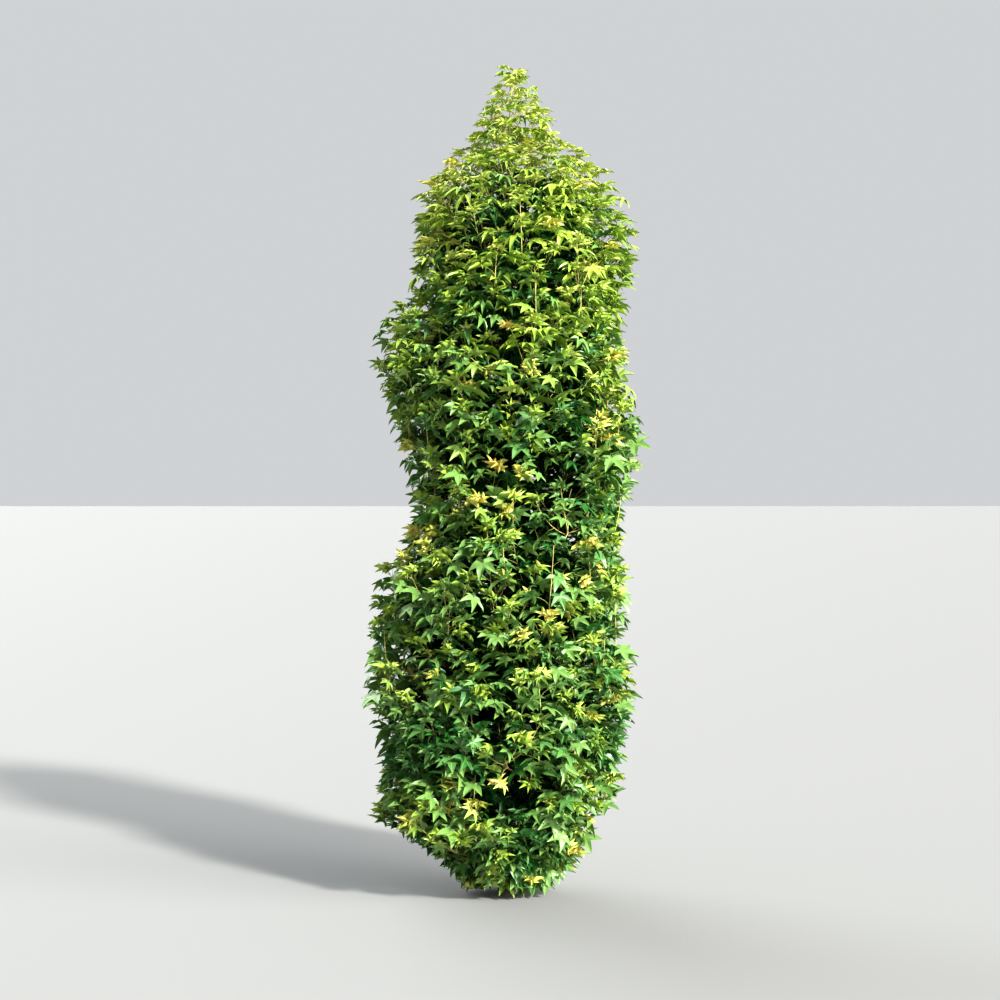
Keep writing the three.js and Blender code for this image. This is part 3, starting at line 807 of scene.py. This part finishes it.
def leaf_tones(leaves, random):
    """Which tone each leaf takes: by its age, its height and its shoot, and painted shade by its depth
    """
    height = leaves["base"][:, 2]
    tint = leaves["tint"]
    youth = 1 - leaves["age"]
    top = ramp(height, *VALUE_TOP)
    value = lerp(*VALUES_BY_HEIGHT, top) + VALUE_BY_YOUTH * youth**2 * lerp(tint, 1, top)
    value = value + VALUE_BY_TINT * (tint - MIDDLE_TINT) + random.normal(0, VALUE_SCATTER, len(youth))
    tone = np.clip(value * TONES_PER_VALUE + DEEP, DEEP, YELLOW_GREEN).astype(int)
    lightest = np.clip(np.maximum(LIGHTEST_YOUTH * youth**3, top), 0, 1)
    tone = np.minimum(tone, lerp(*LIGHTEST_TONES, lightest).astype(int))
    bright = tint > BRIGHT_TINT
    tone[bright & (youth > YELLOW_GREEN_YOUTH)] = YELLOW_GREEN
    tone[bright & (youth > YELLOW_YOUTH)] = YELLOW
    tone[bright & (youth > BRONZE_YOUTH) & (random.random(len(youth)) < BRONZE_SHARE)] = BRONZE
    # Painted shade: deeper in the crown, more leaves take a dark tone, fewer at the foot and top
    painted_shade_reach = SHADED_SHARE * ramp(height, 0, SHADED_FOOT) * ramp(SHADED_TOP - height, 0, SHADED_BLEND)
    painted_shade = share_of_reach(leaves["base"]) < painted_shade_reach * random.random(len(youth))
    lighter = HIGH_SHADE_TONES * ramp(height, *HIGH_SHADE)
    tone[painted_shade] = (DEEP + lighter[painted_shade]).astype(int)
    # Leaves in deep shade take the darkest tones, lighter high up: painted shade
    tone[leaves["inner"]] = lighter[leaves["inner"]].astype(int)
    return tone


# Materials

LEAF_GLOSS = 0.52
# for the darkest leaf tone, which is painted shade
SHADE_GLOSS = 0.2
NOISE_SPAN = (0.3, 0.7)  # between which most of a noise texture's values lie
FURROW_SPAN = (0.36, 0.62)  # values of the streaks at which bark is all furrow and all ridge


def linear(colour):
    """A colour as the renderer counts it, from one as the eye sees it"""
    parts = [c / 255 for c in colour]
    return [c / 12.92 if c <= 0.04045 else ((c + 0.055) / 1.055) ** 2.4 for c in parts]


def set_input(tree, node, name, source):
    """Links an input to another node's output, or sets it to a value"""
    if isinstance(source, bpy.types.NodeSocket):
        tree.links.new(source, node.inputs[name])
    else:
        node.inputs[name].default_value = source


def add_node(tree, kind, inputs):
    node = tree.nodes.new(kind)
    for name, source in inputs.items():
        set_input(tree, node, name, source)
    return node


def new_material(name, colour):
    """A plain material with its node tree, its shader and places on the piece"""
    material = bpy.data.materials.new(name)
    material.use_nodes = True
    tree = material.node_tree
    shader = tree.nodes["Principled BSDF"]
    shader.inputs["Base Color"].default_value = (*linear(colour), 1)
    material.diffuse_color = (*linear(colour), 1)
    coordinates = tree.nodes.new("ShaderNodeTexCoord")
    return material, tree, shader, coordinates.outputs["Object"]


def add_noise(tree, place, scale, detail, stretch=(1, 1, 1)):
    mapping = add_node(tree, "ShaderNodeMapping", {"Scale": stretch, "Vector": place})
    spots = {"Scale": scale, "Detail": detail, "Vector": mapping.outputs["Vector"]}
    return add_node(tree, "ShaderNodeTexNoise", spots).outputs["Fac"]


def add_roughness(tree, shader, value, low, high):
    names = ("Value", "From Min", "From Max", "To Min", "To Max")
    inputs = dict(zip(names, (value, *NOISE_SPAN, low, high)))
    set_input(tree, shader, "Roughness", add_node(tree, "ShaderNodeMapRange", inputs).outputs["Result"])


def add_bump(tree, shader, height, strength, distance):
    inputs = {"Strength": strength, "Distance": distance, "Height": height}
    set_input(tree, shader, "Normal", add_node(tree, "ShaderNodeBump", inputs).outputs["Normal"])


def leaf_material(name, colour, gloss):
    """A satin blade, finely puckered between its veins"""
    material, tree, shader, place = new_material(name, colour)
    shader.inputs["Specular IOR Level"].default_value = gloss
    add_roughness(tree, shader, add_noise(tree, place, scale=60, detail=3), low=0.32, high=0.48)
    puckers = add_noise(tree, place, scale=260, detail=2)
    add_bump(tree, shader, puckers, strength=0.35, distance=0.0015)
    return material


def wood_material(name, colour, furrow, scale, stretch, roughness, depth):
    """Bark: two tones in long streaks, with furrows"""
    material, tree, shader, place = new_material(name, colour)
    streaks = add_noise(tree, place, scale, 6, (1, 1, stretch))
    tones = add_node(tree, "ShaderNodeValToRGB", {"Fac": streaks})
    for stop, position, tone in zip(tones.color_ramp.elements, FURROW_SPAN, (furrow, colour)):
        stop.position = position
        stop.color = (*linear(tone), 1)
    set_input(tree, shader, "Base Color", tones.outputs["Color"])
    add_roughness(tree, shader, streaks, low=roughness + 0.08, high=roughness - 0.1)
    add_bump(tree, shader, streaks, strength=0.7, distance=depth)
    return material


def stalk_material(name, colour):
    """A smooth green or tan shoot with faint pores"""
    material, tree, shader, place = new_material(name, colour)
    pores = add_noise(tree, place, scale=420, detail=2)
    add_roughness(tree, shader, pores, low=0.42, high=0.6)
    add_bump(tree, shader, pores, strength=0.3, distance=0.0006)
    return material


# Pieces

# The trunk's mesh and the relief of its bark
TRUNK_RINGS = 440
TRUNK_SIDES = 32
RING_SPREAD = 1.25  # above 1 it sets the rings closer together at the foot
BARK_DEPTH = 0.0015  # at the trunk's foot
BARK_TAPER = 1.4  # power of the trunk's thickness by which the relief grows fainter
FURROWS_AROUND = (6, 7, 9, 11, 14, 17)  # waves round the trunk, added up
FURROW_WANDER = 1.4
FURROW_WANDER_LENGTH = 0.23
FURROW_TWIST = 9
RIDGE_MIDDLE = 0.3
SCARS_APART = 0.117
SCAR_PLACE = 0.05
SCAR_WIDTH = 0.003
SCAR_HEIGHT = 0.4
BARK_SEED = 5

# The boughs' meshes
BOUGH_RINGS = 26
BOUGH_SIDES = 10
BOUGH_START = 0.25  # share of its line left out, for a run as long as the trunk's radius
SHORTEST_RUN = 0.05
BOUGH_WAVER = 0.0012
WAVER_ANGLE = 17
COLLAR_LENGTH = 0.15  # share of the bough
KNOTS = 7
KNOT_SHIFT = 0.37  # from one bough to the next, in knots
KNOT_SWELLING = 0.05
KNOT_WIDTH = 0.09

# Stems, twigs and shoots
STEM_TIP_RADIUS = 0.0016
TWIG_ROOT_SHARE = 0.55  # of the stem's thickness at its root
TWIG_TIP_RADIUS = 0.0014
LIMB_PLACES = 14  # on each limb, that shoots may start from
SHOOTS_ON_BOUGH = 0.45  # share along a bough from which it carries shoots
SHOOTS_ON_LEADER = 2.6  # height from which the trunk carries shoots
LOW_MASSES = 4  # whose shoots may start from the trunk's foot too
LOW_TRUNK = (0.03, 0.3)
WOODY_RINGS = 12
WOODY_SIDES = 7
WOODY_TAPER = 0.8
SHOOT_RADII = (0.0024, 0.0011)
SHOOT_RINGS = 6
SHOOT_SIDES = 4

# Stalks
STALK_RADII = (0.0006, 0.00115)
STALK_SIDES = 3
STALK_RINGS = 4
INNER_STALK_RINGS = 3
STALK_FOOT = 1.25  # thickness at the shoot and on the way, beside that at the blade
STALK_MIDDLE = 0.88

# Leaves and stalks are pieces by storey, each with the masses that it covers
STOREYS = {
    "at_the_foot": range(0, 6),
    "low": range(6, 11),
    "midway": range(11, 16),
    "high": range(16, 21),
    "at_the_top": range(21, 26),
}


def add_piece(name, mesh_parts, materials, indices, nodes):
    """A smooth mesh of corners and triangles that takes the place of some of the CAD's nodes"""
    corners, faces = mesh_parts
    mesh = bpy.data.meshes.new(name)
    mesh.vertices.add(len(corners))
    mesh.vertices.foreach_set("co", np.asarray(corners, np.float32).ravel())
    mesh.loops.add(faces.size)
    mesh.loops.foreach_set("vertex_index", faces.astype(np.int32).ravel())
    mesh.polygons.add(len(faces))
    mesh.polygons.foreach_set("loop_start", np.arange(0, faces.size, 3, dtype=np.int32))
    for material in materials:
        mesh.materials.append(material)
    mesh.polygons.foreach_set("material_index", np.asarray(indices, np.int32))
    mesh.polygons.foreach_set("use_smooth", np.ones(len(faces), bool))
    mesh.update(calc_edges=True)
    piece = bpy.data.objects.new(name, mesh)
    bpy.context.scene.collection.objects.link(piece)
    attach(piece, "root")
    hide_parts(*nodes)


def foliage_nodes(masses):
    return [f"foliage_{mass['name']}" for mass in masses]


def bark_relief(angle, height):
    """Furrows that run up the trunk, and ring scars that cross it"""
    random = np.random.default_rng(BARK_SEED)
    total = np.zeros(np.broadcast(angle, height).shape)
    for turns in FURROWS_AROUND:
        phase, drift = random.random(2) * 2 * np.pi
        wander = FURROW_WANDER * np.sin(height * 2 * np.pi / FURROW_WANDER_LENGTH + drift)
        wander = wander + height * random.normal(0, FURROW_TWIST)
        total = total + np.sin(turns * angle + wander + phase) / len(FURROWS_AROUND) ** 0.5
    ridges = 1 - np.abs(total)
    scars = np.exp(-((np.mod(height, SCARS_APART) - SCAR_PLACE) / SCAR_WIDTH) ** 2)
    return ridges - RIDGE_MIDDLE + SCAR_HEIGHT * scars


def add_trunk():
    share = np.linspace(0, 1, TRUNK_RINGS)[:, None]
    height = TRUNK_HEIGHT * share**RING_SPREAD
    angle = 2 * np.pi * np.arange(TRUNK_SIDES)[None] / TRUNK_SIDES
    flare = FLARE_RADIUS * np.exp(-height / FLARE_HEIGHT)
    flare = flare * (1 + BUTTRESS_DEPTH * np.cos(BUTTRESSES * angle))
    taper = lerp(TRUNK_FOOT_RADIUS, TRUNK_TIP_RADIUS, height / TRUNK_HEIGHT)
    depth = BARK_DEPTH * (taper / TRUNK_FOOT_RADIUS) ** BARK_TAPER
    radius = taper + flare + depth * bark_relief(angle, height)
    axis = trunk_axis(height[:, 0])
    skin = axis[:, None] + horizontal(angle[0])[None] * radius[:, :, None]
    corners = np.concatenate([skin.reshape(-1, 3), axis[[0, -1]]])
    faces = tube_faces(1, TRUNK_RINGS, TRUNK_SIDES)
    bark = wood_material(
        "trunk_bark", TRUNK_BARK, TRUNK_FURROW, scale=70, stretch=0.22, roughness=0.86, depth=0.003,
    )
    add_piece("trunk_with_bark", (corners, faces), [bark], np.zeros(len(faces)), ["trunk"])


def bough_tube(mass):
    """The line of one bough, which starts inside the trunk, and its radii along it"""
    share = np.linspace(0, 1, BOUGH_RINGS)
    root, bend, tip = mass["bough"]
    trunk_radius = lerp(TRUNK_FOOT_RADIUS, TRUNK_TIP_RADIUS, root[2] / TRUNK_HEIGHT)
    start = BOUGH_START * trunk_radius / max(SHORTEST_RUN, np.linalg.norm(tip[:2] - root[:2]))
    line = bezier(root, bend, tip, lerp(start, 1, share))
    waver = np.sin(share * WAVER_ANGLE + mass["index"]) * BOUGH_WAVER * share
    line += waver[:, None] * mass["side"]
    swelling = 1 + COLLAR * np.exp(-share / COLLAR_LENGTH)
    from_knot = np.mod(share * KNOTS + mass["index"] * KNOT_SHIFT, 1) - 0.5
    knots = 1 + KNOT_SWELLING * np.exp(-((from_knot / KNOT_WIDTH) ** 2))
    radii = mass["thickness"] * lerp(BOUGH_ROOT_RADIUS, BOUGH_TIP_RADIUS, share) * swelling * knots
    return line, radii


def add_boughs():
    masses = MASSES[:-1]
    lines, radii = zip(*(bough_tube(mass) for mass in masses))
    side = np.array([mass["side"] for mass in masses])
    corners, faces = tubes(np.array(lines), np.array(radii), side, BOUGH_SIDES)
    bark = wood_material(
        "bough_bark", BOUGH_BARK, BOUGH_FURROW, scale=110, stretch=0.35, roughness=0.74, depth=0.0015,
    )
    nodes = [f"bough_{mass['name']}" for mass in masses]
    add_piece("boughs_with_bark", (corners, faces), [bark], np.zeros(len(faces)), nodes)


def grow_twigs():
    """The stem and twigs of every mass, and for each mass the places that shoots start from"""
    lines, limbs = [], []
    share = np.linspace(0, 1, LIMB_PLACES)
    for mass in MASSES:
        stem = stem_of(mass)
        twigs = twigs_of(mass, stem)
        base = BOUGH_TIP_RADIUS * mass["thickness"]
        lines.append((stem, base, STEM_TIP_RADIUS, mass["side"]))
        lines += [(twig, TWIG_ROOT_SHARE * base, TWIG_TIP_RADIUS, mass["side"]) for twig in twigs]
        places = [bezier(*line, share) for line in [stem, *twigs]]
        if mass["bough"]:
            places.append(bezier(*mass["bough"], lerp(SHOOTS_ON_BOUGH, 1, share)))
        else:
            places.append(trunk_axis(lerp(SHOOTS_ON_LEADER, TRUNK_HEIGHT, share)))
        if mass["index"] < LOW_MASSES:
            places.append(trunk_axis(lerp(*LOW_TRUNK, share)))
        limbs.append(np.concatenate(places))
    return lines, limbs


def woody_tubes(lines):
    share = np.linspace(0, 1, WOODY_RINGS)
    points = np.array([bezier(*curve, share) for curve, _, _, _ in lines])
    radii = np.array([lerp(root, tip, share**WOODY_TAPER) for _, root, tip, _ in lines])
    side = np.array([side for _, _, _, side in lines])
    return tubes(points, radii, side, WOODY_SIDES)


def shoot_tubes(shoots):
    starts, bends, ends, _ = shoots
    share = np.linspace(0, 1, SHOOT_RINGS)
    points = bezier(starts[:, None], bends[:, None], ends[:, None], share[None])
    radii = np.repeat(lerp(*SHOOT_RADII, share)[None], len(ends), axis=0)
    side = unit(np.cross(UP, outward(ends)) + TINY)
    return tubes(points, radii, side, SHOOT_SIDES)


def add_twigs(lines, shoots):
    """Stems and twigs with bark, and shoots that are tan and green in turn"""
    woody, fine = woody_tubes(lines), shoot_tubes(shoots)
    count = len(shoots[2])
    turns = np.repeat(1 + np.arange(count) % 2, len(fine[1]) // count)
    tones = np.concatenate([np.zeros(len(woody[1])), turns])
    materials = [stalk_material(name, colour) for name, colour in TWIG_TONES.items()]
    add_piece("twigs", joined(woody, fine), materials, tones, foliage_nodes(MASSES))


def blades_of(leaves, chosen, picked, faces):
    """The blades of the chosen leaves, each with the picked corners and the same faces"""
    corners = leaves["corners"][chosen][:, picked]
    step = np.arange(len(corners))[:, None, None] * corners.shape[1]
    return corners.reshape(-1, 3), (faces[None] + step).reshape(-1, 3)


def storey_blades(leaves, tone, outer, inner):
    """Outer leaves with ribs, which are paler up to the lime ones, and inner leaves without"""
    whole = blades_of(leaves, outer, slice(None), LEAF_FACES)
    plainer = blades_of(leaves, inner, INNER_CORNERS, INNER_FACES)
    ribs = (tone[outer] <= LIME)[:, None] & LEAF_RIBS[None]
    indices = np.where(ribs, len(LEAF_TONES), tone[outer][:, None]).ravel()
    indices = np.concatenate([indices, np.repeat(tone[inner], len(INNER_FACES))])
    return joined(whole, plainer), indices


def stalks_of(leaves, chosen, rings):
    start, bend, base = (leaves[key][chosen] for key in ("root", "bend", "base"))
    points = bezier(start[:, None], bend[:, None], base[:, None], np.linspace(0, 1, rings)[None])
    thick = lerp(*STALK_RADII, leaves["age"][chosen])[:, None]
    radii = thick * np.array([STALK_FOOT, *[STALK_MIDDLE] * (rings - 2), 1.0])[None]
    side = unit(np.cross(base - start, UP) + TINY)
    return tubes(points, radii, side, STALK_SIDES, closed=False)


def storey_stalks(leaves, tone, outer, inner):
    """Green stalks, and yellow ones for the outer leaves from lime on"""
    whole = stalks_of(leaves, outer, STALK_RINGS)
    plainer = stalks_of(leaves, inner, INNER_STALK_RINGS)
    yellow = np.repeat(tone[outer] >= LIME, len(whole[1]) // outer.sum())
    return joined(whole, plainer), np.concatenate([yellow, np.zeros(len(plainer[1]), bool)])


def add_leaves(leaves, tone):
    glosses = {"leaf_painted_shade": SHADE_GLOSS}
    blades = [
        leaf_material(name, colour, glosses.get(name, LEAF_GLOSS))
        for name, colour in [*LEAF_TONES.items(), RIB_TONE]
    ]
    stalks = [stalk_material(name, colour) for name, colour in STALK_TONES.items()]
    for storey, masses in STOREYS.items():
        chosen = np.isin(leaves["owner"], list(masses))
        outer, inner = chosen & ~leaves["inner"], chosen & leaves["inner"]
        nodes = foliage_nodes(MASSES[i] for i in masses)
        for kind, make, materials in (
            ("leaves", storey_blades, blades),
            ("stalks", storey_stalks, stalks),
        ):
            mesh_parts, indices = make(leaves, tone, outer, inner)
            add_piece(f"{kind}_{storey}", mesh_parts, materials, indices, nodes)


def build_tree():
    add_trunk()
    add_boughs()
    lines, limbs = grow_twigs()
    shoots = grow_shoots(limbs, np.random.default_rng(SHOOT_SEED))
    add_twigs(lines, shoots)
    leaves = grow_leaves(shoots, np.random.default_rng(LEAF_SEED))
    add_leaves(leaves, leaf_tones(leaves, np.random.default_rng(TONE_SEED)))


# Floor, light and camera

FLOOR_REACH = 500
FLOOR_ROUGHNESS = 0.9

# Each light's name, the way to it, its width in degrees, its strength and its colour
LIGHTS = [
    ("key", (0.53, -0.66, 0.53), 6, 6.3, (1.0, 0.97, 0.93)),
    ("right", (0.86, -0.48, 0.2), 50, 5.6, (1.0, 0.99, 0.97)),
    ("back", (-0.48, 0.74, 0.45), 50, 2.7, (0.95, 0.98, 1.0)),
]
SKY_COLOUR = (0.88, 0.9, 0.92, 1)
SKY_STRENGTH = 0.62

# The photograph's view: a level camera at eye height, eight metres off
SENSOR_WIDTH = 36
LENS = 72.35
CAMERA_PLACE = (-0.028, -8, 1.564)


def add_floor():
    mesh = bpy.data.meshes.new("floor")
    corners = [(x * FLOOR_REACH, y * FLOOR_REACH, 0) for x, y in ((-1, -1), (1, -1), (1, 1), (-1, 1))]
    mesh.from_pydata(corners, [], [(0, 1, 2, 3)])
    floor = bpy.data.objects.new("floor", mesh)
    bpy.context.scene.collection.objects.link(floor)
    material, _, shader, _ = new_material("floor_paper", FLOOR_PAPER)
    shader.inputs["Roughness"].default_value = FLOOR_ROUGHNESS
    mesh.materials.append(material)


def add_light(name, way, softness, power, colour):
    """A broad light from far off. way points to it, and softness is its width in degrees."""
    data = bpy.data.lights.new(name, "SUN")
    data.angle = math.radians(softness)
    data.energy = power
    data.color = colour
    light = bpy.data.objects.new(name, data)
    light.rotation_euler = Vector(way).to_track_quat("Z", "Y").to_euler()
    bpy.context.scene.collection.objects.link(light)


def add_studio():
    for light in LIGHTS:
        add_light(*light)
    world = bpy.data.worlds.new("studio")
    bpy.context.scene.world = world
    world.use_nodes = True
    sky = world.node_tree.nodes["Background"]
    sky.inputs["Color"].default_value = SKY_COLOUR
    sky.inputs["Strength"].default_value = SKY_STRENGTH


def add_camera():
    data = bpy.data.cameras.new("camera")
    data.sensor_width = SENSOR_WIDTH
    data.lens = LENS
    camera = bpy.data.objects.new("camera", data)
    camera.location = CAMERA_PLACE
    camera.rotation_euler = (math.pi / 2, 0, 0)
    bpy.context.scene.collection.objects.link(camera)
    bpy.context.scene.camera = camera


build_tree()
add_floor()
add_studio()
add_camera()
bpy.context.scene.view_settings.view_transform = "Standard"
bpy.context.scene.view_settings.look = "Medium High Contrast"
